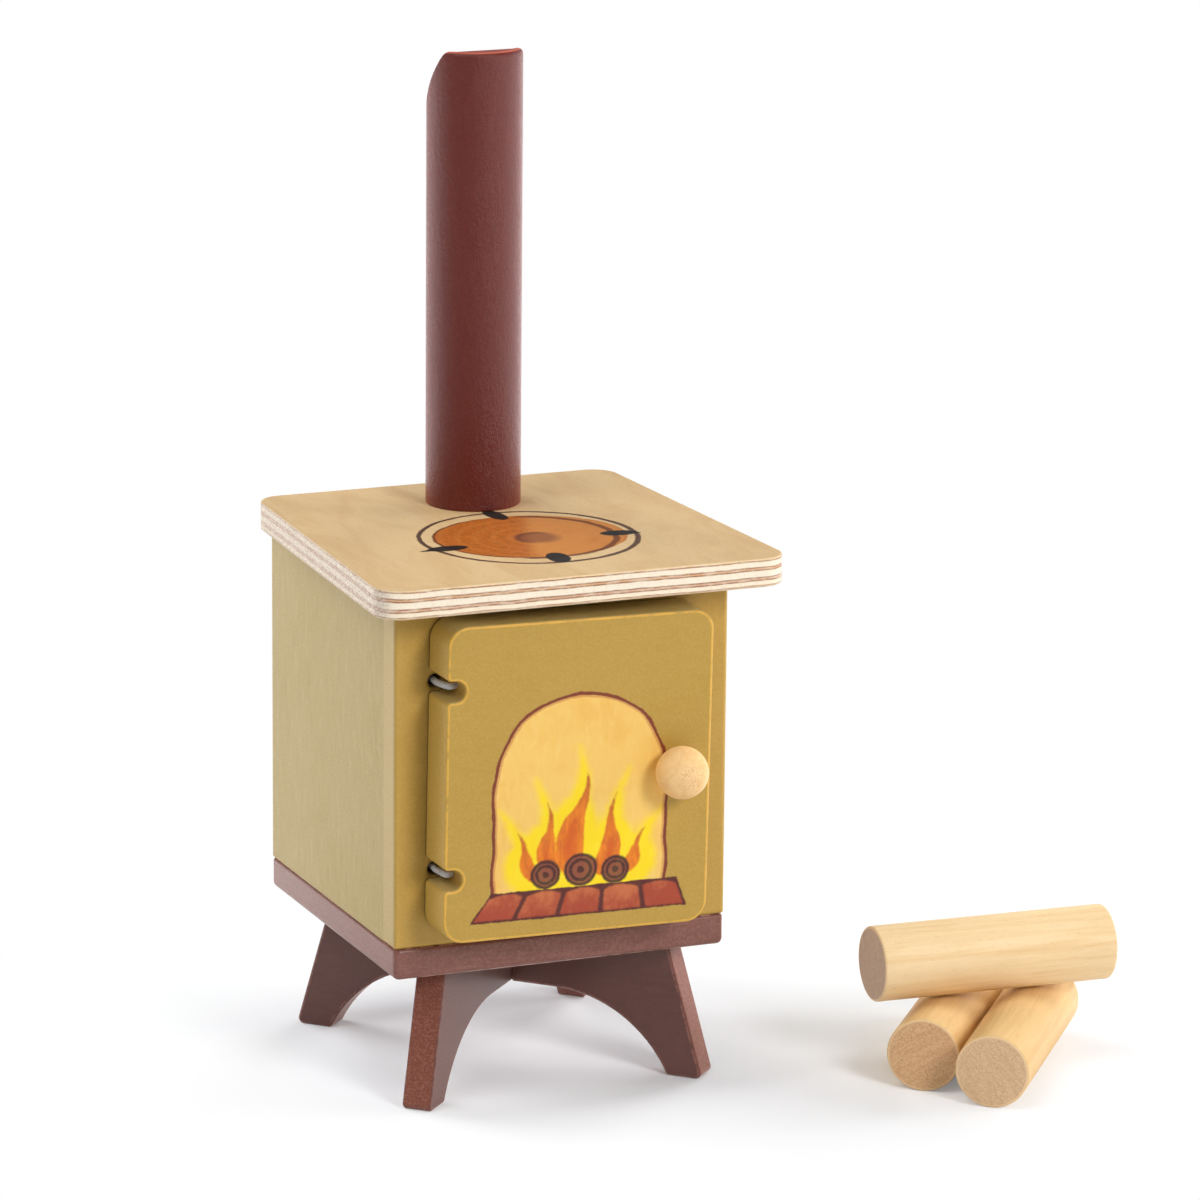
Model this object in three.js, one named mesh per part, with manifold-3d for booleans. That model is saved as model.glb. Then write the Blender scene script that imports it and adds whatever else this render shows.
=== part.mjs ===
// A dollhouse wood stove of painted wood, with a door on two elastic cords,
// a flue, crossed legs and three loose logs beside it.
// Millimetres, +Z up. The door faces -Y, and its cords are on the -X side.
import * as THREE from 'three';
import { mergeVertices } from 'three/addons/utils/BufferGeometryUtils.js';
import Module from 'manifold-3d';

const wasm = await Module();
wasm.setup();

// Body: four panels glued into a box that is open above and below
const bodyWidth = 65.8;
const bodyDepth = 66.3;
const bodyHeight = 65.4;
const panelThickness = 6;
const bodyCornerRadius = 0.9;

// Base plate, all but flush with the body all round
const baseThickness = 6;
const baseInset = 0.03;
const baseCornerRadius = 1.2;
const baseEdge = 0.9;

// Legs: two boards halved into each other under the base
const legHeight = 26.3;
const legThickness = 5.7;
const legTopReach = 34.7;
const legFootReach = 42.2;
const footWidth = 7.2;
const footRounding = 1.1;
const legBandHeight = 12;
const legFlatReach = 12;
const legAngle = 45.8;
const crossShiftX = 1.5;
const crossShiftY = -0.6;
const halvingClearance = 0.15;

// Top plate: a plywood board, wider at the front than at the back
const topThickness = 5.5;
const topFrontWidth = 80.2;
const topBackWidth = 72.1;
const topFrontOverhang = 12.2;
const topBackOverhang = 0.1;
const topCornerRadius = 5;
const topEdge = 0.4;

// Flue: a dowel with a steep cut behind a flat front
const flueDiameter = 18;
const flueHeight = 86.9;
const flueX = 1.4;
const flueFromBack = 17.65;
const flueRidgeForward = 4.2;
const flueCutAngle = 54.5;

// Door: a thick board that lies over the front panel
const doorWidth = 52.2;
const doorThickness = 9.7;
const doorLeftInset = 6;
const doorBottomGap = 2.8;
const doorTopGap = 3.2;
const doorHeight = bodyHeight - doorBottomGap - doorTopGap;
const doorCornerRadius = 4;
const doorEdge = 0.45;
const doorGap = 0.3;
const doorSag = 0.93;

// Firebox mouth in the front panel, which the door laps over all round
const doorLap = 6;
const mouthWidth = doorWidth - 2 * doorLap;
const mouthHeight = doorHeight - 2 * doorLap;
const mouthCornerRadius = 3;

// Knob: a turned ball with a flat back, on a peg
const knobDiameter = 9.8;
const knobFlatDiameter = 4;
const knobFromRight = 7.6;
const knobAboveMiddle = 0.35;

// Hinge cords and the notches that they lie in
const notchHeight = 3.8;
const notchDepth = 3.65;
const notchFromEnd = 12;
const notchLip = 0.9;
const cordDiameter = 1.2;
const cordHoleDiameter = 2.6;
const cordSocketDiameter = 2;
const cordSocketDepth = 6;
const cordHoleInset = 1.9;
const cordTail = 2.2;
const knotDiameter = 3.6;
const knotGap = 0.4;

// Wooden pegs: diameter, length, and how deep they sit in the first of their two pieces
const framePeg = { diameter: 4, length: 14, seat: 3.6 };
const legPeg = { diameter: 3, length: 11, seat: 4 };
const fluePeg = { diameter: 8, length: 18, seat: topThickness };
const knobPeg = { diameter: 3.5, length: 11, seat: 4.5 };
const pegClearance = 0.12;
const pegEndClearance = 0.4;
const framePegSpacing = 38;
const legPegReach = 25;

// Logs: two on the floor side by side, the third across them
const logDiameter = 14;
const logLength = 49;
const logEdge = 0.35;
const logGap = 0.3;
const logPairX = 83.36;
const logPairY = -41.33;
const logPairTurn = 37.64;
const logStagger = 5.96;
const topLogX = 83.85;
const topLogY = -41.4;
const topLogTurn = 92.87;
const topLogDiameter = 14.3;
const topLogLength = 47.3;

const paint = (color, roughness) => new THREE.MeshStandardMaterial({ color, roughness, metalness: 0 });
const mustard = paint(0xb5944a, 0.5);
const maroon = paint(0x6e3b36, 0.45);
const birch = paint(0xd9bf94, 0.6);
const beech = paint(0xe0bd87, 0.6);
const pegWood = paint(0xd8b483, 0.7);
const elastic = paint(0xc9cbd0, 0.8);

const rad = THREE.MathUtils.degToRad;
const baseTop = legHeight + baseThickness;
const bodyTop = baseTop + bodyHeight;
const plateTop = bodyTop + topThickness;
const bodyFront = -bodyDepth / 2;
const bodyBack = bodyDepth / 2;

// Outlines, as lists of points

function arc(cx, cy, radius, from, to, steps) {
  const points = [];
  for (let i = 0; i <= steps; i++) {
    const a = from + (to - from) * i / steps;
    points.push(new THREE.Vector2(cx + radius * Math.cos(a), cy + radius * Math.sin(a)));
  }
  return points;
}

// A closed outline through corners [x, y, radius], each corner rounded by an arc
function rounded(corners, steps = 4) {
  const points = [];
  corners.forEach(([x, y, radius], i) => {
    const corner = new THREE.Vector2(x, y);
    if (!radius) {
      points.push(corner);
      return;
    }
    const before = corners.at(i - 1);
    const after = corners[(i + 1) % corners.length];
    const u = new THREE.Vector2(before[0] - x, before[1] - y).normalize();
    const v = new THREE.Vector2(after[0] - x, after[1] - y).normalize();
    const half = Math.acos(THREE.MathUtils.clamp(u.dot(v), -1, 1)) / 2;
    const middle = u.clone().add(v).normalize();
    const centre = corner.clone().addScaledVector(middle, radius / Math.sin(half));
    const start = corner.clone().addScaledVector(u, radius / Math.tan(half)).sub(centre);
    const turn = -Math.sign(u.cross(v)) * (Math.PI - 2 * half);
    for (let k = 0; k <= steps; k++) {
      const spoke = start.clone().rotateAround(new THREE.Vector2(), turn * k / steps);
      points.push(spoke.add(centre));
    }
  });
  return points.filter((p, i) => p.distanceTo(points.at(i - 1)) > 1e-4);
}

function rectangle(x0, y0, x1, y1, radius = 0) {
  return [[x0, y0, radius], [x1, y0, radius], [x1, y1, radius], [x0, y1, radius]];
}

// Solids

function toSolid(geometry) {
  const bare = geometry.clone();
  bare.deleteAttribute('normal');
  bare.deleteAttribute('uv');
  const merged = mergeVertices(bare, 1e-5);
  const index = Array.from(merged.index.array);
  const triVerts = [];
  for (let i = 0; i < index.length; i += 3) {
    const [a, b, c] = index.slice(i, i + 3);
    if (a !== b && b !== c && c !== a) triVerts.push(a, b, c);
  }
  return new wasm.Manifold(new wasm.Mesh({
    numProp: 3,
    vertProperties: Float32Array.from(merged.attributes.position.array),
    triVerts: Uint32Array.from(triVerts),
  }));
}

function toGeometry(solid) {
  const mesh = solid.getMesh();
  const geometry = new THREE.BufferGeometry();
  geometry.setAttribute('position', new THREE.BufferAttribute(mesh.vertProperties, 3));
  geometry.setIndex(new THREE.BufferAttribute(mesh.triVerts, 1));
  return geometry;
}

function cut(geometry, tools) {
  return toGeometry(tools.reduce((solid, tool) => solid.subtract(toSolid(tool)), toSolid(geometry)));
}

// A board of the given outline in XY, from z = 0 up, its edges eased by edge
function board(points, thickness, edge = 0, holes = []) {
  const shape = new THREE.Shape(points);
  holes.forEach((hole) => shape.holes.push(new THREE.Path(hole)));
  const geometry = new THREE.ExtrudeGeometry(shape, {
    depth: thickness - 2 * edge,
    bevelEnabled: edge > 0,
    bevelThickness: edge,
    bevelSize: edge,
    bevelOffset: -edge,
    bevelSegments: 2,
  });
  return geometry.translate(0, 0, edge);
}

// Stands a board up, so that its outline is in XZ and its thickness goes towards -Y
function upright(geometry) {
  return geometry.rotateX(Math.PI / 2);
}

// A rod along Z, from z = 0 up
function rod(diameter, length, sides = 16) {
  const radius = diameter / 2;
  return new THREE.CylinderGeometry(radius, radius, length, sides).rotateX(Math.PI / 2).translate(0, 0, length / 2);
}

const peg = (size) => rod(size.diameter, size.length);
const socket = (size, depth) => rod(size.diameter + 2 * pegClearance, depth);

const stove = new THREE.Group();

function add(name, geometry, material, parent = stove) {
  const mesh = new THREE.Mesh(geometry, material);
  mesh.name = name;
  parent.add(mesh);
  return mesh;
}

// Where the frame pegs stand, in plan: two in each side panel
const framePegX = bodyWidth / 2 - panelThickness / 2;
const framePegSpots = [-1, 1].flatMap((sx) => [-1, 1].map((sy) => [sx * framePegX, sy * framePegSpacing / 2]));
const framePegDepth = framePeg.length - framePeg.seat + pegEndClearance;

// Where the leg pegs stand: two along each leg board
const legDirections = { a: rad(180 + legAngle), b: rad(-legAngle) };
const legPegSpots = Object.values(legDirections).flatMap((turn) => [-1, 1].map((side) => [
  crossShiftX + side * legPegReach * Math.cos(turn),
  crossShiftY + side * legPegReach * Math.sin(turn),
]));

// Body panels

function sidePanel(side) {
  const outer = side * bodyWidth / 2;
  const inner = side * (bodyWidth / 2 - panelThickness);
  const corners = [
    [inner, bodyFront + panelThickness, 0],
    [outer, bodyFront + panelThickness, 0],
    [outer, bodyBack, bodyCornerRadius],
    [inner, bodyBack, 0],
  ];
  if (side < 0) corners.reverse();
  const holes = framePegSpots.filter(([x]) => x * side > 0).flatMap(([x, y]) => [
    socket(framePeg, framePegDepth).translate(x, y, 0),
    socket(framePeg, framePegDepth).translate(x, y, bodyHeight - framePegDepth),
  ]);
  return cut(board(rounded(corners), bodyHeight), holes);
}

add('left_side_panel', sidePanel(-1), mustard).position.z = baseTop;
add('right_side_panel', sidePanel(1), mustard).position.z = baseTop;

const innerWidth = bodyWidth - 2 * panelThickness;
const backPanel = new THREE.BoxGeometry(innerWidth, panelThickness, bodyHeight);
add('back_panel', backPanel, mustard).position.set(0, bodyBack - panelThickness / 2, baseTop + bodyHeight / 2);

// The door group stands at the lower left corner of the door's back, and leans by its sag
const doorLeft = -bodyWidth / 2 + doorLeftInset;
const doorCentreX = doorLeft + doorWidth / 2;
const doorCentreZ = doorBottomGap + doorHeight / 2;
const notchZ = [doorHeight - notchFromEnd, notchFromEnd];
const cordHoleX = doorLeft + cordHoleInset;
const knobZ = doorHeight / 2 + knobAboveMiddle;

function frontPanel() {
  const plan = board(rounded([
    [-bodyWidth / 2, 0, bodyCornerRadius],
    [bodyWidth / 2, 0, bodyCornerRadius],
    [bodyWidth / 2, panelThickness, 0],
    [-bodyWidth / 2, panelThickness, 0],
  ]), bodyHeight);
  const mouth = board(rounded(rectangle(
    doorCentreX - mouthWidth / 2,
    doorCentreZ - mouthHeight / 2,
    doorCentreX + mouthWidth / 2,
    doorCentreZ + mouthHeight / 2,
    mouthCornerRadius,
  )), 3 * panelThickness);
  const holes = notchZ.map((z) => rod(cordHoleDiameter, 3 * panelThickness)
    .translate(cordHoleX, doorBottomGap + z, 0));
  return cut(plan, [mouth, ...holes].map((tool) => upright(tool).translate(0, 2 * panelThickness, 0)));
}

add('front_panel', frontPanel(), mustard).position.set(0, bodyFront, baseTop);

// Base plate, with sockets for the body pegs above and the leg pegs below

function basePlate() {
  const halfWidth = bodyWidth / 2 - baseInset;
  const halfDepth = bodyDepth / 2 - baseInset;
  const outline = rounded(rectangle(-halfWidth, -halfDepth, halfWidth, halfDepth, baseCornerRadius));
  const above = framePegSpots.map(([x, y]) => socket(framePeg, framePeg.seat + pegEndClearance)
    .translate(x, y, baseThickness - framePeg.seat - pegEndClearance / 2));
  const below = legPegSpots.map(([x, y]) => socket(legPeg, legPeg.seat + pegEndClearance)
    .translate(x, y, -pegEndClearance / 2));
  return cut(board(outline, baseThickness, baseEdge), [...above, ...below]);
}

add('base_plate', basePlate(), maroon).position.z = legHeight;

// Legs: one outline for both boards, halved from above or from below

function legBoard(slotFromAbove) {
  const bandBottom = legHeight - legBandHeight;
  const archReach = legFootReach - footWidth - legFlatReach;
  const archRadius = (archReach ** 2 + bandBottom ** 2) / (2 * bandBottom);
  const archEnd = Math.asin(archReach / archRadius);
  const arch = (side) => arc(side * legFlatReach, bandBottom - archRadius, archRadius,
    Math.PI / 2, Math.PI / 2 - side * archEnd, 9).map((p) => [p.x, p.y, 0]);
  const footRight = arch(1).slice(0, -1);
  const footLeft = arch(-1).slice(0, -1).reverse();
  const outline = rounded([
    [-legTopReach, legHeight, 0],
    [-legFootReach, 0, footRounding],
    [-legFootReach + footWidth, 0, footRounding / 2],
    ...footLeft,
    ...footRight,
    [legFootReach - footWidth, 0, footRounding / 2],
    [legFootReach, 0, footRounding],
    [legTopReach, legHeight, 0],
  ]);
  const blank = upright(board(outline, legThickness, 0)).translate(0, legThickness / 2, 0);
  const slotHalf = legThickness / 2 + halvingClearance;
  const middle = bandBottom + legBandHeight / 2;
  const slot = new THREE.BoxGeometry(2 * slotHalf, 2 * legThickness, legBandHeight);
  const lift = legBandHeight / 2 - halvingClearance / 2;
  slot.translate(0, 0, middle + (slotFromAbove ? lift : -lift));
  const holes = [-1, 1].map((side) => socket(legPeg, legPeg.length)
    .translate(side * legPegReach, 0, legHeight - (legPeg.length - legPeg.seat) - pegEndClearance));
  return cut(blank, [slot, ...holes]);
}

Object.entries(legDirections).forEach(([key, turn]) => {
  const leg = add(`leg_board_${key}`, legBoard(key === 'a'), maroon);
  leg.position.set(crossShiftX, crossShiftY, 0);
  leg.rotation.z = turn;
});

// Top plate

const topFront = bodyFront - topFrontOverhang;
const topBack = bodyBack + topBackOverhang;
const flueY = topBack - flueFromBack;

function topPlate() {
  const outline = rounded([
    [-topFrontWidth / 2, topFront, topCornerRadius],
    [topFrontWidth / 2, topFront, topCornerRadius],
    [topBackWidth / 2, topBack, topCornerRadius],
    [-topBackWidth / 2, topBack, topCornerRadius],
  ], 6);
  const sockets = framePegSpots.map(([x, y]) => socket(framePeg, framePeg.seat + pegEndClearance)
    .translate(x, y, -pegEndClearance / 2));
  const flueSocket = socket(fluePeg, 2 * topThickness).translate(flueX, flueY, -topThickness / 2);
  return cut(board(outline, topThickness, topEdge), [...sockets, flueSocket]);
}

add('top_plate', topPlate(), birch).position.z = bodyTop;

// Flue, with the cut that slopes down to the back

function flue() {
  const size = 2 * flueDiameter;
  const wedge = new THREE.BoxGeometry(size, size, size)
    .translate(0, size / 2, size / 2)
    .rotateX(-rad(flueCutAngle))
    .translate(0, -flueRidgeForward, flueHeight);
  const pegDepth = fluePeg.length - fluePeg.seat + pegEndClearance;
  return cut(rod(flueDiameter, flueHeight, 48), [wedge, socket(fluePeg, 2 * pegDepth).translate(0, 0, -pegDepth)]);
}

add('flue_pipe', flue(), maroon).position.set(flueX, flueY, plateTop);
add('flue_peg', peg(fluePeg), pegWood).position.set(flueX, flueY, bodyTop);

// Pegs of the body and the legs

framePegSpots.forEach(([x, y], i) => {
  add(`base_peg_${i + 1}`, peg(framePeg), pegWood).position.set(x, y, baseTop - framePeg.seat);
  add(`top_peg_${i + 1}`, peg(framePeg), pegWood)
    .position.set(x, y, bodyTop + framePeg.seat - framePeg.length);
});

legPegSpots.forEach(([x, y], i) => {
  add(`leg_peg_${i + 1}`, peg(legPeg), pegWood)
    .position.set(x, y, legHeight + legPeg.seat - legPeg.length);
});

// Door, with a notch and a socket for each cord, and the knob on its peg

const door = new THREE.Group();
const doorCentre = new THREE.Vector3(doorWidth / 2, 0, doorHeight / 2);
const sagTurn = new THREE.Quaternion().setFromAxisAngle(new THREE.Vector3(0, 1, 0), rad(doorSag));
door.quaternion.copy(sagTurn);
door.position.set(doorCentreX, bodyFront - doorGap, baseTop + doorCentreZ);
door.position.sub(doorCentre.clone().applyQuaternion(sagTurn));
stove.add(door);

function doorPanel() {
  const notch = (z) => [
    [0, z + notchHeight / 2, notchLip],
    [notchDepth, z + notchHeight / 2, notchHeight / 2],
    [notchDepth, z - notchHeight / 2, notchHeight / 2],
    [0, z - notchHeight / 2, notchLip],
  ];
  const outline = rounded([
    ...rectangle(0, 0, doorWidth, doorHeight, doorCornerRadius),
    ...notchZ.flatMap(notch),
  ], 6);
  const cordSockets = notchZ.map((z) => rod(cordSocketDiameter, cordSocketDepth + notchDepth / 2, 12)
    .rotateY(Math.PI / 2)
    .translate(notchDepth / 2, -doorThickness / 2, z));
  const pegDepth = knobPeg.length - knobPeg.seat + pegEndClearance;
  const pegSocket = upright(socket(knobPeg, 2 * pegDepth))
    .translate(doorWidth - knobFromRight, pegDepth - doorThickness, knobZ);
  return cut(upright(board(outline, doorThickness, doorEdge)), [...cordSockets, pegSocket]);
}

add('door_panel', doorPanel(), mustard, door);

function knob() {
  const radius = knobDiameter / 2;
  const flat = knobFlatDiameter / 2;
  const centre = Math.sqrt(radius ** 2 - flat ** 2);
  const start = -Math.acos(flat / radius);
  const profile = [new THREE.Vector2(0, 0), ...arc(0, centre, radius, start, Math.PI / 2, 14)];
  profile[profile.length - 1].x = 0;
  const ball = new THREE.LatheGeometry(profile, 28).rotateX(Math.PI / 2);
  return cut(ball, [socket(knobPeg, knobPeg.seat + 2 * pegEndClearance).translate(0, 0, -pegEndClearance)]);
}

// The knob and its peg stand on the door's face, pointing towards -Y
const knobGroup = new THREE.Group();
knobGroup.position.set(doorWidth - knobFromRight, -doorThickness, knobZ);
knobGroup.rotation.x = Math.PI / 2;
door.add(knobGroup);
const knobSeatGap = 0.02;
add('door_knob', knob(), beech, knobGroup).position.z = knobSeatGap;
add('knob_peg', peg(knobPeg), pegWood, knobGroup).position.z = knobPeg.seat - knobPeg.length;

// Hinge cords, each from its knot inside the body, through the front panel into the door

door.updateMatrix();

function hingeCord(z) {
  const holeZ = baseTop + doorBottomGap + z;
  const inDoor = (x) => new THREE.Vector3(x, -doorThickness / 2, z).applyMatrix4(door.matrix);
  const panelBack = bodyFront + panelThickness;
  const knotX = knotDiameter / 2 + knotGap - innerWidth / 2;
  const knotY = panelBack + knotDiameter / 2 + knotGap;
  const throughPanel = (y) => new THREE.Vector3(cordHoleX, y, holeZ);
  const route = new THREE.CatmullRomCurve3([
    new THREE.Vector3(knotX + cordTail / 2, knotY + cordTail + knotDiameter / 2, holeZ),
    new THREE.Vector3(knotX, knotY, holeZ),
    throughPanel(panelBack - cordDiameter),
    throughPanel(bodyFront + cordDiameter),
    throughPanel(bodyFront - doorGap - cordDiameter / 2),
    inDoor(notchDepth - cordDiameter).lerp(throughPanel(bodyFront - doorThickness / 2), 0.35),
    inDoor(notchDepth),
    inDoor(notchDepth + cordDiameter),
    inDoor(notchDepth + cordSocketDepth - cordDiameter),
  ], false, 'centripetal');
  const section = new THREE.Shape(arc(0, 0, cordDiameter / 2, 0, 2 * Math.PI, 8).slice(0, -1));
  const cord = new THREE.ExtrudeGeometry(section, { steps: 36, bevelEnabled: false, extrudePath: route });
  const knot = new THREE.IcosahedronGeometry(knotDiameter / 2, 1).translate(knotX, knotY, holeZ);
  return toGeometry(toSolid(cord).add(toSolid(knot)));
}

add('upper_hinge_cord', hingeCord(notchZ[0]), elastic);
add('lower_hinge_cord', hingeCord(notchZ[1]), elastic);

// Logs

function log(diameter, length) {
  const radius = diameter / 2;
  const half = length / 2;
  const profile = [[0, -half], [radius - logEdge, -half], [radius, -half + logEdge],
    [radius, half - logEdge], [radius - logEdge, half], [0, half]];
  return new THREE.LatheGeometry(profile.map(([x, y]) => new THREE.Vector2(x, y)), 36);
}

const alongPair = new THREE.Vector3(Math.sin(rad(logPairTurn)), Math.cos(rad(logPairTurn)), 0);
const acrossPair = new THREE.Vector3(alongPair.y, -alongPair.x, 0);

[['log_left', -1], ['log_right', 1]].forEach(([name, side]) => {
  const mesh = add(name, log(logDiameter, logLength), beech);
  mesh.position.set(logPairX, logPairY, logDiameter / 2);
  mesh.position.addScaledVector(acrossPair, side * (logDiameter + logGap) / 2);
  mesh.position.addScaledVector(alongPair, -side * logStagger / 2);
  mesh.rotation.z = -rad(logPairTurn);
});

const topLog = add('log_top', log(topLogDiameter, topLogLength), beech);
topLog.position.set(topLogX, topLogY, logDiameter + topLogDiameter / 2 + logGap);
topLog.rotation.z = -rad(topLogTurn);

// The origin is on the floor, at the middle of the whole set's bounding box
stove.updateMatrixWorld(true);
const bounds = new THREE.Box3().setFromObject(stove, true);
const middle = bounds.getCenter(new THREE.Vector3());
stove.position.set(-middle.x, -middle.y, -bounds.min.z);
const model = new THREE.Group();
model.add(stove);
model.updateMatrixWorld(true);

export default model;
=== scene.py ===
import math

import bpy
import numpy as np
from mathutils import Matrix, Vector
from mathutils.geometry import delaunay_2d_cdt


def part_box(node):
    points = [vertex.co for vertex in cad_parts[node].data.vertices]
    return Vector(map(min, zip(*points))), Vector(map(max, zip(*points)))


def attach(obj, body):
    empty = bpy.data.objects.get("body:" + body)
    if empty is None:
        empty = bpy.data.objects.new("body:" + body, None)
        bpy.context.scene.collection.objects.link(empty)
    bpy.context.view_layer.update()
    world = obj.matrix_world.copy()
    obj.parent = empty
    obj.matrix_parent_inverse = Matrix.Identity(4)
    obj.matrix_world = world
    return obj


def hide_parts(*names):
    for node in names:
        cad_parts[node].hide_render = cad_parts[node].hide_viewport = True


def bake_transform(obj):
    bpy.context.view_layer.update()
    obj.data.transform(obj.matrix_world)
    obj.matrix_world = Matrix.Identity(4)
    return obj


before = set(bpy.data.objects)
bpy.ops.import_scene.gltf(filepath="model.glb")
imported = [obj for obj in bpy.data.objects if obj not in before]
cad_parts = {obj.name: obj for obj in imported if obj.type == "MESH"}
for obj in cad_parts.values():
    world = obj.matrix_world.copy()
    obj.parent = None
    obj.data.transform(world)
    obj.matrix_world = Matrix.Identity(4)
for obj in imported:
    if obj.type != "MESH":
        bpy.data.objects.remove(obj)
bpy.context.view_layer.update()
print("frame loaded")


# Measures, in millimetres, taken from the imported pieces

def boxOf(node):
    low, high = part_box(node)
    return np.array(low) * 1000, np.array(high) * 1000


frontLow, frontHigh = boxOf("front_panel")
backLow, backHigh = boxOf("back_panel")
plateLow, plateHigh = boxOf("top_plate")
baseLow, baseHigh = boxOf("base_plate")
doorLow, doorHigh = boxOf("door_panel")
flueLow, flueHigh = boxOf("flue_pipe")
legHeight = boxOf("leg_board_a")[1][2]
bodyX = (frontLow[0] + frontHigh[0]) / 2
bodyY = (frontLow[1] + backHigh[1]) / 2
bodyWidth = frontHigh[0] - frontLow[0]
bodyHeight = frontHigh[2] - frontLow[2]
baseTop = frontLow[2]


# Meshes: everything is drawn in millimetres and stored in metres

def meshPiece(name, points, faces, material, values=None):
    mesh = bpy.data.meshes.new(name)
    mesh.from_pydata((np.asarray(points) * 0.001).tolist(), [], faces)
    mesh.validate()
    mesh.shade_smooth()
    for key, numbers in (values or {}).items():
        attribute = mesh.attributes.new(key, "FLOAT", "POINT")
        attribute.data.foreach_set("value", np.asarray(numbers, np.float32))
    mesh.materials.append(material)
    piece = bpy.data.objects.new(name, mesh)
    bpy.context.scene.collection.objects.link(piece)
    return piece


def seat(piece, body, node, move, turn=None):
    # move is in millimetres, turn is a rotation matrix
    place = Matrix.Translation(Vector(move) * 0.001)
    piece.matrix_world = place @ (turn.to_4x4() if turn else Matrix.Identity(4))
    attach(piece, body)
    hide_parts(node)
    return piece


def roundedOutline(corners, steps):
    # corners are (x, y, radius); those with a radius become an arc
    points = []
    for i, (x, y, radius) in enumerate(corners):
        corner = np.array([x, y], float)
        if radius <= 0:
            points.append(corner)
            continue
        before = np.array(corners[i - 1][:2], float) - corner
        after = np.array(corners[(i + 1) % len(corners)][:2], float) - corner
        before /= np.linalg.norm(before)
        after /= np.linalg.norm(after)
        half = math.acos(np.clip(before @ after, -1, 1)) / 2
        middle = before + after
        centre = corner + middle / np.linalg.norm(middle) * radius / math.sin(half)
        spoke = corner + before * radius / math.tan(half) - centre
        side = np.sign(before[0] * after[1] - before[1] * after[0])
        sweep = -side * (math.pi - 2 * half)
        for k in range(steps + 1):
            a = sweep * k / steps
            turned = (spoke[0] * math.cos(a) - spoke[1] * math.sin(a),
                      spoke[0] * math.sin(a) + spoke[1] * math.cos(a))
            points.append(centre + turned)
    return np.array(points)


def rectangle(x0, y0, x1, y1, radius):
    return [(x0, y0, radius), (x1, y0, radius), (x1, y1, radius), (x0, y1, radius)]


def circle(x, y, radius, steps):
    a = np.arange(steps) * 2 * math.pi / steps
    return np.stack([x + radius * np.cos(a), y + radius * np.sin(a)], 1)


def strip(ring, following, n):
    # the faces between a ring of n points and the next ring, by the numbers of their first points
    return [(ring + i, ring + (i + 1) % n, following + (i + 1) % n, following + i) for i in range(n)]


def mitres(loop):
    # for each point, how far it moves outward per millimetre of its two edges
    along = np.roll(loop, -1, 0) - loop
    along /= np.linalg.norm(along, axis=1)[:, None]
    normal = np.stack([along[:, 1], -along[:, 0]], 1)
    previous = np.roll(normal, 1, 0)
    turns = previous[:, 0] * normal[:, 1] - previous[:, 1] * normal[:, 0]
    return (normal + previous) / (1 + (normal * previous).sum(1))[:, None], turns


def shrunk(loop, distance, steps):
    # a loop of points, or of corners with their radii, moved into the material
    loop = np.asarray(loop, float)
    outward, turns = mitres(loop[:, :2])
    moved = loop[:, :2] - outward * distance
    if loop.shape[1] == 2:
        return moved
    radii = np.where(loop[:, 2] > 0, np.maximum(loop[:, 2] - np.sign(turns) * distance, 0.02), 0.0)
    return roundedOutline(np.column_stack([moved, radii]).tolist(), steps)


def insideLoops(points, loops):
    # even and odd crossings, so holes count as outside
    inside = np.zeros(len(points), bool)
    for loop in loops:
        for a, b in zip(loop, np.roll(loop, -1, 0)):
            if a[1] != b[1]:
                spans = (a[1] > points[:, 1]) != (b[1] > points[:, 1])
                crossing = (b[0] - a[0]) * (points[:, 1] - a[1]) / (b[1] - a[1]) + a[0]
                inside ^= spans & (points[:, 0] < crossing)
    return inside


def gridPoints(across, upward):
    return np.stack(np.meshgrid(across, upward), -1).reshape(-1, 2)


def loopDistance(points, loops):
    best = np.full(len(points), 1e9)
    for loop in loops:
        for a, b in zip(loop, np.roll(loop, -1, 0)):
            best = np.minimum(best, segmentDistance(points, a, b))
    return best


def segmentDistance(points, a, b):
    a, b = np.asarray(a, float), np.asarray(b, float)
    t = np.clip(((points - a) @ (b - a)) / ((b - a) @ (b - a)), 0, 1)
    return np.linalg.norm(points - (a + t[:, None] * (b - a)), axis=1)


def fillLoops(loops, extra, clear=0.2):
    # triangles between the loops, through the extra points that stand clear of them
    if len(extra):
        extra = extra[insideLoops(extra, loops)]
        extra = extra[loopDistance(extra, loops) > clear]
    points = np.vstack(list(loops) + ([extra] if len(extra) else []))
    edges, start = [], 0
    for loop in loops:
        n = len(loop)
        edges += [(start + i, start + (i + 1) % n) for i in range(n)]
        start += n
    found = delaunay_2d_cdt([Vector(p) for p in points], edges, [], 0, 1e-6)
    origin = [o[0] for o in found[3]]
    triangles = np.array([[origin[v] for v in face] for face in found[2]])
    middles = points[triangles].mean(1)
    triangles = triangles[insideLoops(middles, loops)]
    corners = points[triangles]
    first, second = corners[:, 1] - corners[:, 0], corners[:, 2] - corners[:, 0]
    clockwise = first[:, 0] * second[:, 1] - first[:, 1] * second[:, 0] < 0
    triangles[clockwise] = triangles[clockwise][:, ::-1]
    return triangles, extra


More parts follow.
